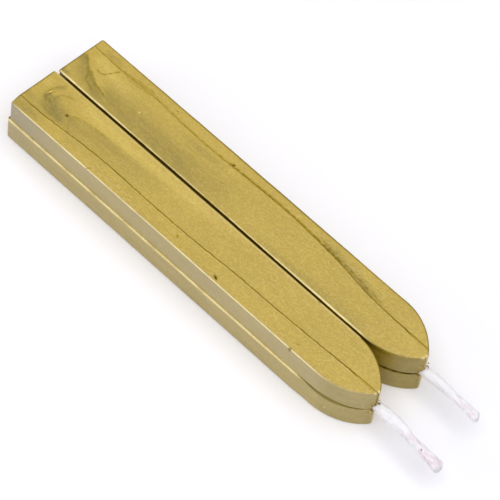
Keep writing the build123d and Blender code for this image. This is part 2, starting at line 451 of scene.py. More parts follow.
def line_distance(points, x, y):
    """Signed distance to a line of points, positive on its left, how far along it, and its length."""
    best = np.full(np.shape(x), np.inf)
    signed = np.zeros(np.shape(x))
    along = np.zeros(np.shape(x))
    start = 0.0
    for (ax, ay), (bx, by) in zip(points, points[1:]):
        length = math.hypot(bx - ax, by - ay)
        ux, uy = (bx - ax) / length, (by - ay) / length
        share = np.clip((x - ax) * ux + (y - ay) * uy, 0.0, length)
        dx, dy = x - ax - share * ux, y - ay - share * uy
        distance = np.hypot(dx, dy)
        nearer = distance < best
        best = np.where(nearer, distance, best)
        signed = np.where(nearer, distance * np.sign(ux * dy - uy * dx), signed)
        along = np.where(nearer, start + share, along)
        start += length
    return signed, along, start


def stroke_shape(points, half_width, x, y):
    """A soft line along points, 1 at its middle."""
    signed, along, length = line_distance(points, x, y)
    ends = rise(along, -stroke_overrun, stroke_fade) * rise(length - along, -stroke_overrun, stroke_fade)
    return ends * bell(signed / half_width)


def pit_shape(outline, x, y):
    """A rounded dent, 1 at its middle."""
    centre_x, centre_y, half_length, half_width, turn = outline
    c, s = math.cos(math.radians(turn)), math.sin(math.radians(turn))
    u = ((x - centre_x) * c + (y - centre_y) * s) / half_length
    v = ((y - centre_y) * c - (x - centre_x) * s) / half_width
    return np.exp(-((u * u + v * v) ** pit_steepness))


def waves(pattern, x, y, shift=0):
    """A gentle wavy relief, always the same for one pattern and one shift of its seed."""
    height, shortest, longest, count, seed = pattern
    rng = np.random.default_rng(seed + shift)
    total = np.zeros(np.shape(x))
    for _ in range(count):
        wave = 2 * math.pi / rng.uniform(shortest, longest)
        heading = rng.uniform(0, math.pi)
        phase = rng.uniform(0, 2 * math.pi)
        total += np.sin(wave * (x * math.cos(heading) + y * math.sin(heading)) + phase)
    return height * (total / math.sqrt(2 * count))


def flow_mask(strokes, x, y):
    """How much of the strokes' wax shows at each point, from 0 to 1."""
    clear = np.ones(np.shape(x))
    for points, left, right, start_fade, end_fade, strength in strokes:
        signed, along, length = line_distance(points, x, y)
        fade = bell(signed / np.where(signed > 0, left, right))
        fade = fade * smooth(along / start_fade) * smooth((length - along) / end_fade)
        bands = waves(flow_bands, along * flow_stretch, signed + flow_slant * along)
        clear = clear * (1 - strength * fade * (1 + bands))
    return 1 - clear


def crease_at(stick, x):
    """Where the crease runs, rounded off between its points."""
    line = np.mean([along_table(crease_lines[stick], x + shift) for shift in crease_averaging], axis=0)
    for size, turn, phase in crease_wobble:
        line = line + size * np.sin(turn * x + phase)
    return line


def crumbly_band(stick, x, y):
    """Where the wax beside the crease has broken up, from 0 to 1."""
    total = np.zeros(np.shape(x))
    for points, half_width in crumbly_lines[stick]:
        total = np.maximum(total, stroke_shape(points, half_width, x, y))
    return total


def top_relief(stick, x, y):
    """Height of the top face over its plane."""
    shift = top_shift[stick]
    height = waves(top_swell, x, y, shift) + waves(top_ripple, x, y, shift)
    height += crumbly_band(stick, x, y) * waves(crumbly_ripple, x, y, shift)
    from_crease = y - crease_at(stick, x)
    height -= crease_depth * bell(from_crease / crease_width)
    height += burr_height * bell((np.abs(from_crease) - burr_distance) / burr_width)
    outside = -from_crease if stick == "front" else from_crease
    height -= crease_step * smooth(outside / step_width)
    for points, half_width, depth, _ in grooves[stick]:
        height -= depth * stroke_shape(points, half_width, x, y)
    for *outline, depth, _ in pits[stick]:
        height -= depth * pit_shape(outline, x, y)
    if stick == "front":
        height -= corner_droop * smooth(outside / droop_width) * smooth(1 - x / droop_length)
    return height


def nose_start(length, half_width):
    """Where the straight sides end and the nose's flanks begin, and how far off their centres lie."""
    centre_side = flank_radius - half_width
    reach = math.sqrt((flank_radius - tip_radius) ** 2 - centre_side**2)
    return length - tip_radius - reach, centre_side


def side_plan(length, half_width, step):
    """The near side's plan from butt to tip: points, outward normals, and the angle where its flank ends."""
    shoulder, centre_side = nose_start(length, half_width)
    flank_end = -math.asin(centre_side / (flank_radius - tip_radius))
    corner = np.linspace(math.pi, 1.5 * math.pi, corner_points)
    straight = np.linspace(butt_corner_radius, shoulder, int(shoulder / step))[1:]
    flank = np.linspace(-math.pi / 2, flank_end, int(flank_radius * (flank_end + math.pi / 2) / step))[1:]
    turns = np.concatenate([corner, np.full(len(straight), -math.pi / 2), flank])
    normals = np.column_stack([np.cos(turns), np.sin(turns)])
    centres = np.concatenate([
        np.tile((butt_corner_radius, butt_corner_radius - half_width), (len(corner), 1)),
        np.column_stack([straight, np.full(len(straight), centre_side)]),
        np.tile((shoulder, centre_side), (len(flank), 1)),
    ])
    radii = np.where(np.arange(len(turns)) < len(corner), butt_corner_radius, flank_radius)
    return centres + radii[:, None] * normals, normals, flank_end


def wall_profile(thickness, lip_round):
    """Rows of a wall from the seam up: inset, height, share of the groove's depth, share of its opening."""
    turns = np.linspace(0, math.pi / 2, round_steps + 1)
    lip_height = seam_gap + lip_round
    edge_height = thickness - edge_round
    rows = [(lip_round, 0.0, 1.0, 0.0), (lip_round, seam_gap, 1.0, 0.5)]
    for a in turns:
        rows.append((lip_round * (1 - math.sin(a)), seam_gap + lip_round * (1 - math.cos(a)), 0.0, 1.0))
    for z in np.linspace(lip_height, edge_height, wall_rows)[1:]:
        rows.append((draft * z, z, 0.0, max(0.0, 1 - (z - lip_height))))
    for a in turns[1:]:
        inset = draft * edge_height + edge_round * (1 - math.cos(a))
        rows.append((inset, edge_height + edge_round * math.sin(a), 0.0, 0.0))
    return rows


def wall_ring(stick, plan, normal, row):
    """One row of a wall, drawn back and lifted where the seam has its groove."""
    inset, height, deep, lifted = row
    opening = along_table(groove_openings[stick], plan[:, 0])
    drawn_back = inset + deep * (seam_gap + groove_depth[stick] * smooth(opening / groove_ramp))
    ring = plan - drawn_back[:, None] * normal
    return np.column_stack([ring, height + lifted * opening / 2])


def across_rows(stick, low, high, crease):
    """Rows across one column of the flat face, close together at the crease."""
    near_rows, far_rows = rows_beside_crease[stick]
    reach = crease_rows[-1]
    margin = crease_margin * (high - low)
    crease = min(max(crease, low + margin), high - margin)
    scale = min(1.0, crease_room * (crease - low) / reach, crease_room * (high - crease) / reach)
    near = np.linspace(low, crease - reach * scale, near_rows + 1)[:-1]
    far = np.linspace(crease + reach * scale, high, far_rows + 1)[1:]
    return np.concatenate([near, crease + scale * np.array(crease_rows), far])


def wax_half_mesh(stick, length, half_width, thickness, lip_round, step):
    """Points, outward directions of the wall's points and faces of one half, seam at z 0, flat face above."""
    near, normal, flank_end = side_plan(length, half_width, step)
    profile = wall_profile(thickness, lip_round)
    columns = len(near)
    top_inset, top_z = profile[-1][:2]
    top_near = near - top_inset * normal
    creases = crease_at(stick, near[:, 0])
    rows = np.array([across_rows(stick, p[1], -p[1], c) for p, c in zip(top_near, creases)])
    last = rows.shape[1] - 1

    # The closed outline: near side, tip, far side, butt
    tip_turns = np.arcsin(np.clip(rows[-1] / (tip_radius - top_inset), -1, 1))[1:-1]
    tip_normal = np.column_stack([np.cos(tip_turns), np.sin(tip_turns)])
    tip = np.array((length - tip_radius, 0)) + tip_radius * tip_normal
    butt = np.column_stack([np.zeros(last - 1), rows[0][1:-1][::-1]])
    butt_normal = np.tile((-1.0, 0.0), (last - 1, 1))
    mirror = np.array((1.0, -1.0))
    plan = np.concatenate([near, tip, (near * mirror)[::-1], butt])
    plan_normal = np.concatenate([normal, tip_normal, (normal * mirror)[::-1], butt_normal])
    ring_size = len(plan)
    rings = [wall_ring(stick, plan, plan_normal, row) for row in profile]

    # The flat face's inner points, in columns that bow out to meet the round tip
    sag = (tip_radius - top_inset) * (1 - math.cos(flank_end))
    bow = sag * np.clip(1 - (top_near[-1, 0] - top_near[1:-1, 0]) / bow_reach, 0, 1) ** 2
    across = rows[1:-1, 1:last]
    share = across / -top_near[1:-1, 1:2]
    along = top_near[1:-1, 0:1] + bow[:, None] * (1 - share**2)
    inside = np.stack([along, across, np.full(across.shape, top_z)], 2).reshape(-1, 3)
    points = np.concatenate(rings + [inside])
    outward = np.tile(np.column_stack([plan_normal, np.zeros(ring_size)]), (len(profile), 1))
    outward = np.concatenate([outward, np.zeros(inside.shape)])

    # Numbers of the flat face's points, edges taken from the topmost ring
    top_ring = ring_size * (len(profile) - 1)
    grid = np.zeros((columns, last + 1), int)
    grid[:, 0] = top_ring + np.arange(columns)
    grid[-1, 1:last] = top_ring + columns + np.arange(last - 1)
    grid[:, last] = top_ring + columns + last - 1 + np.arange(columns)[::-1]
    grid[0, 1:last] = top_ring + 2 * columns + last - 1 + np.arange(last - 1)[::-1]
    grid[1:-1, 1:last] = top_ring + ring_size + np.arange(across.size).reshape(across.shape)

    # The walls, which are a tube without its two caps, and the flat face
    top_faces = np.stack([grid[:-1, :-1], grid[1:, :-1], grid[1:, 1:], grid[:-1, 1:]], 2).reshape(-1, 4)
    faces = ring_faces(len(profile), ring_size)[:-2] + top_faces.tolist()

    # The seam face: one strip per column, and one face each round the butt and the tip
    far = [2 * columns + last - 2 - i for i in range(columns)]
    faces += [[i + 1, i, far[i], far[i + 1]] for i in range(1, columns - 2)]
    faces.append([1, 0] + list(range(ring_size - 1, far[0] - 1, -1)) + [far[1]])
    faces.append(list(range(far[-2], columns - 3, -1)))
    return points, outward, faces


def nose_lean(x, length):
    """How far the leaning nose is off the centre line."""
    return tip_skew * rise(x, length - nose_length, nose_length) ** lean_power


def warp_half(stick, points, outward, thickness, length, half_width, upper):
    """Gives the plain half its casting marks: uneven faces, chips, a ledge or a hollow, a leaning nose."""
    x, y, z = points.T
    shift = wall_shift[stick] + (upper_shift if upper else 0)
    lift = rise(z / thickness, relief_foot, 1 - relief_foot)
    near_side = outward[:, 1] < -side_facing
    push = waves(wall_swell, x, z * swell_squeeze, shift) + waves(wall_ripple, x, z, shift)
    push += waves(lip_ripple, x, y, shift) * np.exp(-z / lip_ripple_reach)
    at_tip = rise(x, length - chip_start, chip_fade)
    chips = np.abs(waves(mouth_chips, y * chip_narrowing, z, shift))
    push -= at_tip * chips * smooth((chip_top - z) / chip_slope)
    if upper:
        relief = top_relief(stick, x, y)
        to_gap = outward[:, 1] if stick == "front" else -outward[:, 1]
        hollow = rise(thickness - z, hollow_top, hollow_slope) * smooth(z / hollow_foot)
        hollow = hollow_depth * hollow * (1 - rise(x, *hollow_end))
        push -= (along_table(gap_relief[stick], x) + hollow) * (to_gap > side_facing)
        push -= at_tip * crease_notch * bell((y - crease_at(stick, x)) / notch_width)
        for pit_x, pit_y, half_length, _, _, depth, _ in pits[stick]:
            if pit_y < edge_pit_reach - half_width:
                push -= near_side * lift * depth * bell((x - pit_x) / half_length)
    else:
        relief = waves(bottom_swell, x, y) - bottom_sink
        standing_out = outward[:, 0] < -butt_facing
        if stick == "front":
            standing_out = standing_out | near_side
        push += ledge * standing_out * (1 - rise(x, ledge_end - ledge_fade / 2, ledge_fade))
    points = points + push[:, None] * outward
    points[:, 2] += relief * lift
    if upper and stick == "front":
        points[:, 0] += corner_shift * rise(-y, shift_start, shift_width) * smooth(1 - x / shift_length)
    points[:, 1] -= nose_lean(x, length)
    if stick == "rear":
        points[:, 1] += rear_bow * np.sin(math.pi * np.clip(x / length, 0, 1))
    return points


def link_object(name, data):
    """A new object of the scene."""
    made = bpy.data.objects.new(name, data)
    scene.collection.objects.link(made)
    return made


def new_object(name, points, faces, material):
    """A smooth mesh object from points in metres."""
    mesh = bpy.data.meshes.new(name)
    mesh.from_pydata(points.tolist(), [], faces)
    mesh.materials.append(material)
    mesh.polygons.foreach_set("use_smooth", np.ones(len(mesh.polygons), bool))
    mesh.update()
    return link_object(name, mesh)


def store(made, name, values):
    """Keeps one number for each point of a mesh, for its material."""
    attribute = made.data.attributes.new(name, "FLOAT", "POINT")
    attribute.data.foreach_set("value", np.asarray(values, np.float32))


def ring_faces(count, sides, first=0):
    """Faces of a capped tube of count rings, with its points numbered from first."""
    faces = []
    for k in range(count - 1):
        low, high = first + k * sides, first + (k + 1) * sides
        faces += [[low + i, low + (i + 1) % sides, high + (i + 1) % sides, high + i] for i in range(sides)]
    faces.append([first + i for i in range(sides - 1, -1, -1)])
    faces.append([first + (count - 1) * sides + i for i in range(sides)])
    return faces


def channel_cutter(place, length):
    """A tube along the wick's line with a ragged mouth at the tip."""
    plain = np.linspace(-cutter_reach, length - plain_end, plain_rings)
    ragged = np.linspace(length - ragged_start, length + cutter_reach, ragged_rings)
    turns = round_angles(cutter_sides)
    rings = []
    for x in np.concatenate([plain, ragged]):
        jag = sum(size * np.sin(count * turns + phase + twist * x)
                  for size, count, phase, twist in mouth_jags)
        radius = channel_radius + rise(x, length - mouth_depth, mouth_depth) * (mouth_flare + jag)
        ring = [np.full(cutter_sides, x), radius * np.cos(turns), radius * np.sin(turns)]
        rings.append(np.column_stack(ring))
    faces = ring_faces(len(rings), cutter_sides)
    return new_object("channel_cutter", (np.concatenate(rings) + place) * mm, faces, wax)


def cut(target, cutter):
    """Takes the cutter's shape out of the target, for good."""
    modifier = target.modifiers.new("channel", "BOOLEAN")
    modifier.operation = "DIFFERENCE"
    modifier.solver = "MANIFOLD"
    modifier.object = cutter
    bpy.context.view_layer.update()
    result = bpy.data.meshes.new_from_object(target.evaluated_get(bpy.context.evaluated_depsgraph_get()))
    target.modifiers.clear()
    target.data = result


class PaintPoints:
    """Where the points of a half lie: along, across and up, inside its sides and below its highest point."""

    def __init__(self, made, place, length, half_width):
        places = np.zeros(len(made.data.vertices) * 3)
        made.data.vertices.foreach_get("co", places)
        self.x, self.y, self.z = (places.reshape(-1, 3) / mm - place).T
        self.length = length
        self.below = self.z.max() - self.z
        shoulder, centre_side = nose_start(length, half_width)
        past = np.clip(self.x - shoulder, 0, flank_radius)
        width_here = np.sqrt(flank_radius**2 - past**2) - centre_side
        aside = self.y + nose_lean(self.x, length)
        self.from_near = width_here + aside
        self.from_far = width_here - aside
        self.inside = np.minimum(self.from_near, self.from_far)
        self.near_wall = self.from_near < wall_depth
        self.on_nose = rise(self.x, length - nose_length, nose_fade)


def painted_edge_highlight(stick, at):
    """Painted highlight along the top edges and at the tip's top corner, from 0 to 1."""
    patchy = np.clip(edge_highlight_mean + waves(edge_patches, at.x, 0 * at.x), 0, 1)
    patchy = patchy * (1 - nose_highlight_loss * at.on_nose)
    from_sides = {"near": at.from_near, "far": at.from_far}
    painted_highlight = np.zeros(len(at.x))
    for side, inward, down, half_width, strength in edge_highlight_lines[stick]:
        from_edge = np.hypot(from_sides[side] - inward, at.below - down)
        painted_highlight = np.maximum(painted_highlight, strength * patchy * smooth((half_width - from_edge) / edge_highlight_fade))
    for from_tip, aside in tip_highlights:
        spot = np.exp(-((at.x - at.length - from_tip) ** 2 + (at.y - aside) ** 2) / tip_highlight_area)
        painted_highlight = np.maximum(painted_highlight, spot * bell(at.below / tip_highlight_depth))
    return painted_highlight


def painted_ledge_highlight(at):
    """Painted highlight on the lip of the lower half along the near side, from 0 to 1."""
    patchy = np.clip(ledge_highlight_mean + waves(ledge_patches, at.x, 0 * at.x), 0, 1)
    on_ledge = (1 - rise(at.x, ledge_end - ledge_highlight_fade / 2, ledge_highlight_fade)) * (at.from_near < ledge_highlight_depth)
    return patchy * on_ledge * rise(at.z, -ledge_highlight_height, ledge_highlight_slope)


def painted_edge_shade(stick, at):
    """Painted shade along the butt's top edge and the outer far edge, from 0 to 1."""
    far = at.from_far if stick == "rear" else np.where(at.on_nose > edge_shade_nose, at.from_far, np.inf)
    from_edge = np.minimum(at.x, far)
    return bell(np.hypot(from_edge - edge_shade_inset, at.below - edge_shade_drop) / edge_shade_width)


def painted_gap_shade(stick, at):
    """Painted shade on the two walls that face each other, from 0 to 1, just below the top and thinner at the
    nose.
    """
    facing = at.from_far if stick == "front" else at.from_near
    depth = rise(at.below, *gap_shade_start) * (1 - rise(at.below, *gap_shade_foot))
    return (facing < gap_shade_reach) * depth * (1 - rise(at.x, *gap_shade_end))


def wall_paint(stick, upper, at):
    """Darker wax, painted shade and lighter wax of the walls and of the seam with its groove."""
    opening = along_table(groove_openings[stick], at.x)
    open_groove = smooth(opening / groove_ramp)
    from_slit = np.abs(at.z) - seam_gap - opening / 2
    behind_lip = at.inside > seam_cover + (groove_cover - seam_cover) * open_groove
    in_seam = behind_lip * (from_slit < seam_spread)
    flow = nose_flow[stick] * np.maximum(at.on_nose, 0.0 if upper else lower_flow) * at.near_wall
    if stick == "front":
        lip = 0.0 if upper else open_groove * smooth((lip_band - from_slit) / lip_band_fade)
        flow = np.maximum(flow, np.maximum(groove_flow * open_groove * in_seam, lip_flow * lip))
        # Painted shade in the front's slit, less where its groove is open, and on the groove's lower lip.
        dirt_and_shade = in_seam * (seam_shade + (open_seam_shade - seam_shade) * open_groove)
        dirt_and_shade = np.maximum(dirt_and_shade, lip_shade * lip)
    else:
        # Painted shade in the rear's slit, broken up in patches where its groove is open.
        crumbling = np.clip(crumbling_shade + waves(groove_patches, at.x, at.z), *crumbling_limits)
        # Painted shade on the rear nose's near wall, most where the front nose comes close.
        wedge = nose_shade * at.on_nose + wedge_shade * bell((at.x - wedge_place) / wedge_reach)
        dirt_and_shade = in_seam * (seam_shade + (crumbling - seam_shade) * open_groove)
        dirt_and_shade = np.maximum(dirt_and_shade, wedge * at.near_wall)
    pale_and_highlight = np.zeros(len(at.x))
    for speck_x, speck_z, radius in side_specks[stick]:
        speck = bell(np.hypot(at.x - speck_x, at.z - speck_z) / radius)
        pale_and_highlight = np.maximum(pale_and_highlight, speck * (at.from_near < speck_depth))
    return flow, dirt_and_shade, pale_and_highlight


def top_paint(stick, at, flow, dirt_and_shade, pale_and_highlight):
    """Adds the marks of the top face and of its edges to the paint of an upper half."""
    x, y = at.x, at.y
    on_top = smooth((top_depth - at.below) / top_fade) * (at.inside > rim_width)
    crumbs = waves(crumb_patches, x, y)
    flow = np.maximum(flow, on_top * flow_mask(flows[stick], x, y))
    flow = flow * np.clip(1 + flow_crumbs * crumbly_band(stick, x, y) * crumbs, *flow_limits)
    pale_and_highlight = np.maximum(pale_and_highlight, on_top * flow_mask(lights[stick], x, y))
    # Painted shade: a dark line along the crease.
    darkness = crease_shade + waves(crease_patches, x, 0 * x)
    if stick == "rear":
        darkness -= faint_crease * rise(x, *faint_start) * (1 - rise(x, *faint_end))
    foot = np.where(x < at.length / 2, at.z.max() - crease_drop, crease_foot)
    crease = darkness * bell((y - crease_at(stick, x)) / crease_line) * rise(at.z, foot, crease_fade)
    # Painted shade of the seam, the crease, the gap between the sticks and the butt and far edges, then the
    # darker grooves and pits.
    marks = [dirt_and_shade, crease, gap_shade * painted_gap_shade(stick, at), edge_shade * painted_edge_shade(stick, at)]
    broken_up = np.clip(groove_darkness + crumbs, *groove_limits)
    for points, half_width, _, dark in grooves[stick]:
        groove = np.clip(dark * broken_up, 0, 1) * stroke_shape(points, half_width, x, y)
        marks.append(on_top * groove)
    for *outline, _, dark in pits[stick]:
        shape = on_top * pit_shape(outline, x, y)
        if dark > 0:
            marks.append(dark * shape**pit_softness)
        else:
            # A pale spot; at the front's eye dent it is a painted highlight.
            pale_and_highlight = np.maximum(pale_and_highlight, -dark * shape)
    return flow, np.maximum.reduce(marks), pale_and_highlight


def paint_half(made, stick, place, length, half_width, upper):
    """Stores the flow of darker and lighter wax, painted shade and darker marks, painted highlights, the
    painted reflection and grain on the points of a half.
    """
    at = PaintPoints(made, place, length, half_width)
    flow, dirt_and_shade, pale_and_highlight = wall_paint(stick, upper, at)
    # Painted reflection: a grey cast on the near walls, weaker on the nose and stronger towards the butt.
    painted_reflection = reflection_share[stick] * at.near_wall * (1 - nose_reflection_loss * at.on_nose)
    painted_reflection = painted_reflection * (1 + butt_reflection * smooth(1 - at.x / butt_reflection_reach))
    if upper:
        flow, dirt_and_shade, pale_and_highlight = top_paint(stick, at, flow, dirt_and_shade, pale_and_highlight)
        painted_highlight = painted_edge_highlight(stick, at)
        grain = grain_mean + grain_gain * smooth(at.x / grain_reach)
        grain = grain + grain_crumbs * crumbly_band(stick, at.x, at.y)
        grain = grain * smooth((grain_depth - at.below) / grain_fade)
    else:
        # Painted highlight along the ledge's lip, as paler colour and as a share of the highlight channel.
        ledge_highlight = painted_ledge_highlight(at)
        pale_and_highlight = np.maximum(pale_and_highlight, ledge_highlight)
        painted_highlight = ledge_highlight_share * ledge_highlight
        painted_reflection = lower_reflection * painted_reflection
        grain = 0 * at.x
    paint = {"flow": flow, "pale_and_highlight": pale_and_highlight, "dirt_and_shade": dirt_and_shade, "painted_highlight": painted_highlight, "painted_reflection": painted_reflection, "grain": grain}
    for name, values in paint.items():
        store(made, name, values)


class Nodes:
    """Short words for building the nodes of a material or a world."""

    def __init__(self, owner, output="ShaderNodeOutputMaterial"):
        self.owner = owner
        owner.use_nodes = True
        self.tree = owner.node_tree
        self.tree.nodes.clear()
        self.out = self.add(output)

    def add(self, kind, **settings):
        node = self.tree.nodes.new(kind)
        for key, value in settings.items():
            setattr(node, key, value)
        return node

    def link(self, source, target):
        self.tree.links.new(source, target)

    def feed(self, node, name, value):
        """Gives an input a fixed value, or links it to another node's output."""
        socket = node.inputs[name]
        if isinstance(value, bpy.types.NodeSocket):
            self.link(value, socket)
        else:
            socket.default_value = value

    def attribute(self, name, output="Fac"):
        return self.add("ShaderNodeAttribute", attribute_name=name).outputs[output]

    def math(self, operation, first, second):
        node = self.add("ShaderNodeMath", operation=operation)
        self.feed(node, 0, first)
        self.feed(node, 1, second)
        return node.outputs[0]

    def times(self, first, second):
        return self.math("MULTIPLY", first, second)

    def mix(self, share, first, second):
        """Mixes two colours. Their sockets go by number, since other kinds of value share their names."""
        node = self.add("ShaderNodeMix", data_type="RGBA")
        self.feed(node, 0, share)
        self.feed(node, 6, first)
        self.feed(node, 7, second)
        return node.outputs[2]

    def layered(self, lightness, layers, tints):
        """Mixes the deep and the light tint, and lays the other tints over them by their shares."""
        base = self.mix(lightness, tints["deep"], tints["light"])
        for name, share in layers.items():
            base = self.mix(share, base, tints[name])
        return base

    def remap(self, value, low, high, out_low, out_high):
        node = self.add("ShaderNodeMapRange")
        for key, item in enumerate((value, low, high, out_low, out_high)):
            self.feed(node, key, item)
        return node.outputs[0]

    def noise(self, where, size, detail, roughness, stretch=(1.0, 1.0, 1.0)):
        """Soft noise with features about size large, in the units of where."""
        mapping = self.add("ShaderNodeMapping")
        self.feed(mapping, "Vector", where)
        mapping.inputs["Scale"].default_value = [1 / (size * s) for s in stretch]
        node = self.add("ShaderNodeTexNoise")
        self.feed(node, "Vector", mapping.outputs[0])
        self.feed(node, "Scale", 1.0)
        self.feed(node, "Detail", detail)
        self.feed(node, "Roughness", roughness)
        return node.outputs["Fac"]

    def surface(self, shader):
        """Makes a shader the surface and hands over the material or world."""
        self.link(shader.outputs[0], self.out.inputs["Surface"])
        return self.owner

    def bumpy(self, settings, height, strength, distance):
        """Makes a shader with these settings and the bump of a height in metres the surface."""
        shader = self.add("ShaderNodeBsdfPrincipled")
        for name, value in settings.items():
            self.feed(shader, name, value)
        bump = self.add("ShaderNodeBump")
        self.feed(bump, "Strength", strength)
        self.feed(bump, "Distance", distance)
        self.feed(bump, "Height", height)
        self.feed(shader, "Normal", bump.outputs[0])
        return self.surface(shader)


def shader_tints(tints):
    """Colours written as sRGB from 0 to 255, as the linear ones that a shader wants."""
    shares = np.array(list(tints.values())) / 255
    linear = np.where(shares <= 0.04045, shares / 12.92, ((shares + 0.055) / 1.055) ** 2.4)
    return {name: (*row, 1.0) for name, row in zip(tints, linear.tolist())}


def wax_material():
    """Satin gold wax: pearl pigment, olive flow marks, fine grain, darker pits, painted highlights on its
    edges, a painted grey reflection on its near walls and painted shade in its seams, crease and gap.
    """
    n = Nodes(bpy.data.materials.new("gold_wax"))
    where = n.add("ShaderNodeTexCoord").outputs["Object"]
    broad = n.noise(where, size=0.009, detail=3.0, roughness=0.5, stretch=(2.0, 1.0, 1.0))
    streak = n.noise(where, size=0.0017, detail=4.0, roughness=0.6, stretch=(7.0, 1.0, 1.0))
    grain = n.noise(where, size=0.0005, detail=3.0, roughness=0.65)
    coarse = n.remap(n.attribute("grain"), 0.0, 1.0, 0.5, 1.2)
    # Over the wax's own tints lie the painted highlight, the painted grey reflection and the painted shade.
    layers = {
        "streak": n.remap(streak, 0.35, 0.75, 0.0, 0.4),
        "flow": n.times(n.attribute("flow"), n.remap(streak, 0.25, 0.7, 0.8, 1.15)),
        "pale_and_highlight": n.attribute("pale_and_highlight"),
        "dark_grain": n.times(n.remap(grain, 0.42, 0.72, 0.0, 0.28), coarse),
        "light_grain": n.times(n.remap(grain, 0.5, 0.28, 0.0, 0.25), coarse),
        "painted_reflection": n.times(n.attribute("painted_reflection"), 0.45),
        "painted_highlight": n.attribute("painted_highlight"),
        "dirt_and_shade": n.attribute("dirt_and_shade"),
    }
    base = n.layered(n.remap(broad, 0.3, 0.7, 0.0, 1.0), layers, shader_tints(wax_tints))
    gloss = n.remap(n.math("ADD", streak, grain), 0.6, 1.4, 0.28, 0.4)
    settings = {
        "Base Color": base,
        "Roughness": n.math("SUBTRACT", gloss, n.times(n.attribute("painted_highlight"), 0.1)),
        "IOR": 1.85,
        "Specular IOR Level": n.remap(n.attribute("dirt_and_shade"), 0.0, 0.3, 0.5, 0.05),
    }
    height = n.math("ADD", n.times(grain, coarse), n.times(streak, 0.5))
    return n.bumpy(settings, height, strength=0.85, distance=0.0002)


def cotton_material():
    """White cotton with a faint pink cast, fibres along its lay and shade between the plies."""
    n = Nodes(bpy.data.materials.new("white_cotton"))
    where = n.attribute("lay", "Vector")
    fibre = n.noise(where, size=0.1, detail=4.0, roughness=0.65, stretch=(8.0, 1.0, 1.0))
    patch = n.noise(where, size=0.8, detail=3.0, roughness=0.6, stretch=(3.0, 1.0, 1.0))
    dull = n.times(n.attribute("dull"), n.remap(fibre, 0.35, 0.62, 1.0, 0.3))
    layers = {
        "patch": n.remap(patch, 0.4, 0.7, 0.0, 0.5),
        "dull": n.times(dull, n.remap(patch, 0.4, 0.6, 0.35, 1.2)),
        "shade": n.attribute("shade"),
        "soot": n.attribute("soot"),
    }
    base = n.layered(n.remap(fibre, 0.3, 0.7, 0.0, 1.0), layers, shader_tints(cotton_tints))
    settings = {
        "Base Color": base,
        "Roughness": n.remap(fibre, 0.3, 0.7, 0.6, 0.8),
        "Specular IOR Level": 0.35,
        "Sheen Weight": 1.0,
        "Sheen Roughness": 0.4,
        "Subsurface Weight": 0.8,
        "Subsurface Radius": (0.001, 0.0009, 0.0009),
        "Subsurface Scale": 1.0,
    }
    return n.bumpy(settings, fibre, strength=0.6, distance=0.00008)


def route_points(line):
    """Points along a smooth line through the given route, read from a NURBS spline."""
    curve = bpy.data.curves.new("wick_route", "CURVE")
    curve.dimensions = "3D"
    spline = curve.splines.new("NURBS")
    spline.points.add(len(line) - 1)
    for point, place in zip(spline.points, line):
        point.co = (*place, 1.0)
    spline.order_u = 3
    spline.use_endpoint_u = True
    spline.resolution_u = route_fineness
    holder = bpy.data.objects.new("wick_route", curve)
    mesh = bpy.data.meshes.new_from_object(holder)
    found = np.array([v.co for v in mesh.vertices])
    bpy.data.objects.remove(holder)
    bpy.data.meshes.remove(mesh)
    return found


def unit(vectors):
    """The vectors at length 1."""
    return vectors / np.linalg.norm(vectors, axis=-1, keepdims=True)


def wick_line(stick, length):
    """The wick's middle line from butt to cut end, tip at x 0, and its directions on, aside and up."""
    route = route_points(wick_lines[stick])
    run = np.concatenate([[0], np.cumsum(np.linalg.norm(np.diff(route, axis=0), axis=1))])
    free = np.append(np.arange(0, run[-1], wick_step), run[-1])
    free_line = np.stack([np.interp(free, run, route[:, k]) for k in range(3)], 1)
    hidden = np.arange(butt_recess - length, route[0, 0] - hidden_end, wick_hidden_step)
    hidden_line = np.column_stack([hidden, np.zeros((len(hidden), 2))])
    line = np.concatenate([hidden_line, free_line])
    tangent = unit(np.gradient(line, axis=0))
    side = unit(np.cross((0.0, 0.0, 1.0), tangent))
    return line, tangent, side, np.cross(tangent, side)


def wick_lumps(rng, x, turns, quickest, most_round):
    """Soft lumps along and round the wick, about 1 high."""
    total = np.zeros((len(x), len(turns)))
    for _ in range(lump_waves):
        around = rng.integers(0, most_round)
        wave = rng.uniform(slowest_lump, 1.0) * quickest
        phase = rng.uniform(0, 2 * math.pi)
        total += np.sin(wave * x[:, None] + around * turns[None, :] + phase)
    return total / math.sqrt(2 * lump_waves)


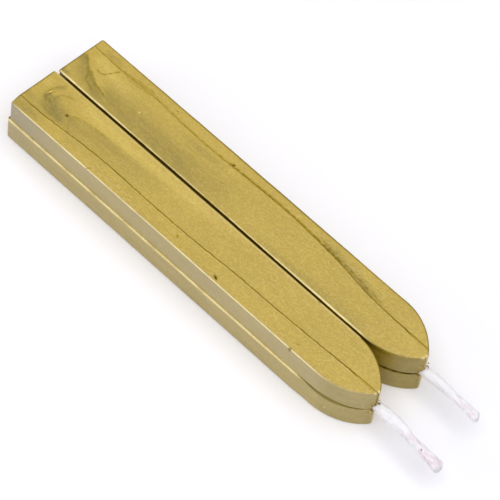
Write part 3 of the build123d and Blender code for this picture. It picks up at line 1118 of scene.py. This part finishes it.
def wick_surface(stick, rng, line, tangent, side, up):
    """Rings of points of the twisted wick, with the shade in its grooves and its lay coordinates."""
    x = line[:, 0]
    turns = round_angles(wick_sides)
    turned = turns[None, :] - np.radians(along_table(wick_turns[stick], x))[:, None]
    valley_depth, flatness, lumpiness, thickness = (
        along_table(table[stick], x)[:, None]
        for table in (wick_valleys, wick_flatness, wick_lumpiness, wick_radii))
    valley = valley_depth * bell(np.cos(turned) / valley_width)
    yarns = 1 - np.abs(np.sin(yarns_round * turned + yarn_sway * np.sin(yarn_turn * x)[:, None]))
    radius = 1 + flatness * np.cos(2 * turned) - valley - yarn_relief * yarns
    lumps = wick_lumps(rng, x, turns, *lump_form)
    fuzz = wick_lumps(rng, x, turns, *fuzz_form)
    radius = radius + lumpiness * lumps + rise(x, *fuzz_start)[:, None] * wick_fuzz * fuzz
    radius = radius * thickness
    ring = np.cos(turns)[None, :, None] * side[:, None, :] + np.sin(turns)[None, :, None] * up[:, None, :]
    points = line[:, None, :] + radius[:, :, None] * ring
    ends = cut_roughness * np.abs(wick_lumps(rng, np.zeros(1), cut_lobes * turns, *cut_form))
    ends = ends + cut_slant * (1 + np.sin(turns))[None, :] / 2
    ends = rise(x, x[-1] - cut_stretch, cut_stretch)[:, None] * ends
    points = points - ends[:, :, None] * tangent[:, None, :]
    shade = valley_shade * valley + yarn_shade * yarns
    shade = shade + lump_shade * lumpiness * np.clip(-lumps, 0, 2) + fuzz_shade * np.clip(-fuzz, 0, 2)
    lay = np.stack([np.broadcast_to(x[:, None], turned.shape), np.cos(turned), np.sin(turned)], 2)
    return points, np.clip(shade, 0, 1), lay


def cap_points(ring, centre, towards, rng):
    """Rings that close the wick's end, uneven like cut fibres."""
    caps = []
    for k in range(1, cap_rings + 1):
        a = 0.5 * math.pi * k / (cap_rings + cap_opening)
        bulge = cap_reach * math.sin(a) + rng.normal(0, cap_roughness, len(ring))
        caps.append(centre + math.cos(a) * (ring - centre) + bulge[:, None] * towards)
    return caps


def loose_fibre(rng, line, tangent, rings):
    """Root, heading and bend of one fibre that stands off the free wick, mostly near its cut end."""
    free = np.flatnonzero(line[:, 0] > fibre_start)
    k = free[int(len(free) * rng.uniform(0, 1) ** fibre_spread)]
    root = rings[k, rng.integers(wick_sides)]
    out = unit(root - line[k])
    heading = tangent[k] * rng.uniform(*fibre_reach) + out * rng.uniform(*fibre_lift)
    bend = out * rng.uniform(*fibre_curl) + rng.normal(0, fibre_stray, 3)
    return root - fibre_root * out, heading, bend


def fibre_points(start, heading, bend):
    """Points of one thin tapering tube that bends away."""
    steps = np.linspace(0, 1, fibre_rings)
    middle = start + steps[:, None] * heading + (steps**2)[:, None] * bend
    turns = round_angles(fibre_sides)
    across = unit(np.cross(heading, bend + fibre_nudge))
    other = unit(np.cross(heading, across))
    ring = np.cos(turns)[:, None] * across + np.sin(turns)[:, None] * other
    thickness = fibre_radius * (1 - fibre_taper * steps)
    return (middle[:, None, :] + thickness[:, None, None] * ring[None, :, :]).reshape(-1, 3)


def wick_piece(stick, place, length):
    """The whole wick from the butt to its cut end: two twisted plies, with loose fibres at the free end."""
    rng = np.random.default_rng(wick_seeds[stick])
    line, tangent, side, up = wick_line(stick, length)
    rings, shade, lay = wick_surface(stick, rng, line, tangent, side, up)
    butt_caps = cap_points(rings[0], line[0], -butt_bulge * tangent[0], rng)
    cut_caps = cap_points(rings[-1], line[-1], tangent[-1], rng)
    stacked = np.concatenate([butt_caps[::-1], rings, cut_caps])
    caps = ((cap_rings, cap_rings), (0, 0))
    shade = np.pad(shade, caps, mode="edge").ravel()
    lay = np.pad(lay, (*caps, (0, 0)), mode="edge").reshape(-1, 3)

    points = stacked.reshape(-1, 3)
    faces = ring_faces(len(stacked), wick_sides)
    for _ in range(loose_fibres):
        faces += ring_faces(fibre_rings, fibre_sides, len(points))
        points = np.concatenate([points, fibre_points(*loose_fibre(rng, line, tangent, rings))])
    spare = len(points) - len(shade)
    made = new_object(f"{stick}_cotton_wick", (points + place + (length, 0, 0)) * mm, faces, cotton)
    soot = np.zeros(len(points))
    for spot_x, spot_y, radius in soot_spots[stick]:
        spot = bell(np.hypot(points[:, 0] - spot_x, points[:, 1] - spot_y) / radius)
        soot = np.maximum(soot, (points[:, 2] > soot_height) * spot)
    store(made, "shade", np.append(shade, np.full(spare, fibre_shade)))
    store(made, "dull", along_table(wick_dullness[stick], points[:, 0]))
    store(made, "soot", soot)
    lay_rows = np.concatenate([lay, np.zeros((spare, 3))])
    attribute = made.data.attributes.new("lay", "FLOAT_VECTOR", "POINT")
    attribute.data.foreach_set("vector", lay_rows.astype(np.float32).ravel())
    return made


def mouth_flakes(stick, place, length):
    """Crumbs of broken wax round the hole that the wick comes out of."""
    rng = np.random.default_rng(crumb_seeds[stick])
    body = bmesh.new()
    dirt_and_shade, painted_highlight = [], []
    for x, y, z, size, dark, highlighted in mouth_crumbs[stick]:
        centre = place + (length + x, y - tip_skew, z)
        corners = []
        for _ in range(crumb_corners):
            corner = centre + rng.normal(0, crumb_spread, 3) * crumb_shape * size
            corners.append(body.verts.new(corner * mm))
        hull = bmesh.ops.convex_hull(body, input=corners)
        loose = [v for v in hull["geom_interior"] if isinstance(v, bmesh.types.BMVert)]
        bmesh.ops.delete(body, geom=loose, context="VERTS")
        dirt_and_shade += [dark] * (len(body.verts) - len(dirt_and_shade))
        painted_highlight += [highlighted] * (len(body.verts) - len(painted_highlight))
    mesh = bpy.data.meshes.new(f"{stick}_mouth_flakes")
    body.to_mesh(mesh)
    body.free()
    mesh.materials.append(wax)
    made = link_object(mesh.name, mesh)
    store(made, "dirt_and_shade", dirt_and_shade)
    store(made, "painted_highlight", painted_highlight)
    return made


def box_mm(node):
    """The two corners of a node's box in millimetres."""
    return [np.array(corner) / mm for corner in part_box(node)]


def build_half(stick, half, step, core_y):
    """One wax half of a stick with the wick's channel cut into it, in the place of its node."""
    upper = half == "upper"
    node = f"{stick}_{half}_half"
    low, high = box_mm(node)
    seam = low[2] if upper else high[2]
    place = np.array((low[0], (low[1] + high[1]) / 2, seam))
    length, thickness = high[0] - low[0], high[2] - low[2]
    half_width = (high[1] - low[1]) / 2
    lip_round = upper_lip_round if upper else lower_lip_round
    points, outward, faces = wax_half_mesh(stick, length, half_width, thickness, lip_round, step)
    points = warp_half(stick, points, outward, thickness, length, half_width, upper)
    if not upper:
        points = points * (1, 1, -1)
        faces = [face[::-1] for face in faces]
    made = new_object(f"{stick}_{half}_wax", (points + place) * mm, faces, wax)
    cutter = channel_cutter(np.array((low[0], core_y, seam)), length)
    cut(made, cutter)
    bpy.data.objects.remove(cutter)
    made.data.set_sharp_from_angle(angle=math.radians(sharp_angle))
    paint_half(made, stick, place, length, half_width, upper)
    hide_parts(node)
    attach(made, f"{stick}_stick")


def build_stick(stick):
    """The wax halves, the wick and the crumbs of one stick; the halves and the crumbs ride on its body."""
    body = f"{stick}_stick"
    core_low, core_high = box_mm(f"{stick}_wick_core")
    upper_low, upper_high = box_mm(f"{stick}_upper_half")
    core_y = (core_low[1] + core_high[1]) / 2
    for half, step in (("upper", upper_step), ("lower", lower_step)):
        build_half(stick, half, step, core_y)
    butt = np.array((upper_low[0], core_y, upper_low[2]))
    length = upper_high[0] - upper_low[0]
    wick = wick_piece(stick, butt, length)
    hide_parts(f"{stick}_wick_core", f"{stick}_wick_tail")
    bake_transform(wick)
    flakes = mouth_flakes(stick, butt, length)
    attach(flakes, body)


def floor_and_world():
    """A white floor that keeps the shadows, and a white world with a soft, slightly cool fill."""
    n = Nodes(bpy.data.materials.new("white_floor"))
    rays = n.add("ShaderNodeLightPath").outputs
    seen = n.math("MAXIMUM", rays["Is Camera Ray"], rays["Is Transmission Ray"])
    strength = n.math("ADD", n.times(seen, floor_glow), n.times(rays["Is Glossy Ray"], floor_shine))
    diffuse = n.add("ShaderNodeBsdfDiffuse")
    n.feed(diffuse, "Color", floor_colour)
    glow = n.add("ShaderNodeEmission")
    n.feed(glow, "Strength", strength)
    both = n.add("ShaderNodeAddShader")
    n.link(diffuse.outputs[0], both.inputs[0])
    n.link(glow.outputs[0], both.inputs[1])
    corners = floor_half * np.array([(-1, -1, 0), (1, -1, 0), (1, 1, 0), (-1, 1, 0)])
    new_object("floor", corners, [[0, 1, 2, 3]], n.surface(both))

    n = Nodes(bpy.data.worlds.new("tent"), "ShaderNodeOutputWorld")
    seen = n.add("ShaderNodeLightPath").outputs["Is Camera Ray"]
    background = n.add("ShaderNodeBackground")
    n.feed(background, "Color", fill_colour)
    n.feed(background, "Strength", n.remap(seen, 0.0, 1.0, fill_level, 1.0))
    scene.world = n.surface(background)


def soft_light(name, direction, width, height, power):
    """A soft box that looks at the middle of the sticks."""
    data = bpy.data.lights.new(name, "AREA")
    data.shape = "RECTANGLE"
    data.size = width
    data.size_y = height
    data.energy = power
    data.color = soft_box_tint
    lamp = link_object(name, data)
    towards = Vector(direction).normalized()
    lamp.location = towards * soft_box_distance
    lamp.rotation_mode = "QUATERNION"
    lamp.rotation_quaternion = towards.to_track_quat("Z", "Y")


def place_camera():
    """The camera, turned about the vertical, raised over the horizon and rolled."""
    a, e, r = (math.radians(angle) for angle in (camera_turn, camera_height, camera_roll))
    back = Vector((math.sin(a) * math.cos(e), -math.cos(a) * math.cos(e), math.sin(e)))
    level = Vector((math.cos(a), math.sin(a), 0))
    upright = back.cross(level)
    right = math.cos(r) * level + math.sin(r) * upright
    up = math.cos(r) * upright - math.sin(r) * level
    data = bpy.data.cameras.new("camera")
    data.sensor_width = camera_sensor
    data.lens = camera_lens
    made = link_object("camera", data)
    made.matrix_world = Matrix.Translation(camera_place) @ Matrix((right, up, back)).transposed().to_4x4()
    scene.camera = made


scene.view_settings.view_transform = "Standard"
place_camera()
wax = wax_material()
cotton = cotton_material()
for stick in ("front", "rear"):
    build_stick(stick)
floor_and_world()
for box in soft_boxes:
    soft_light(*box)
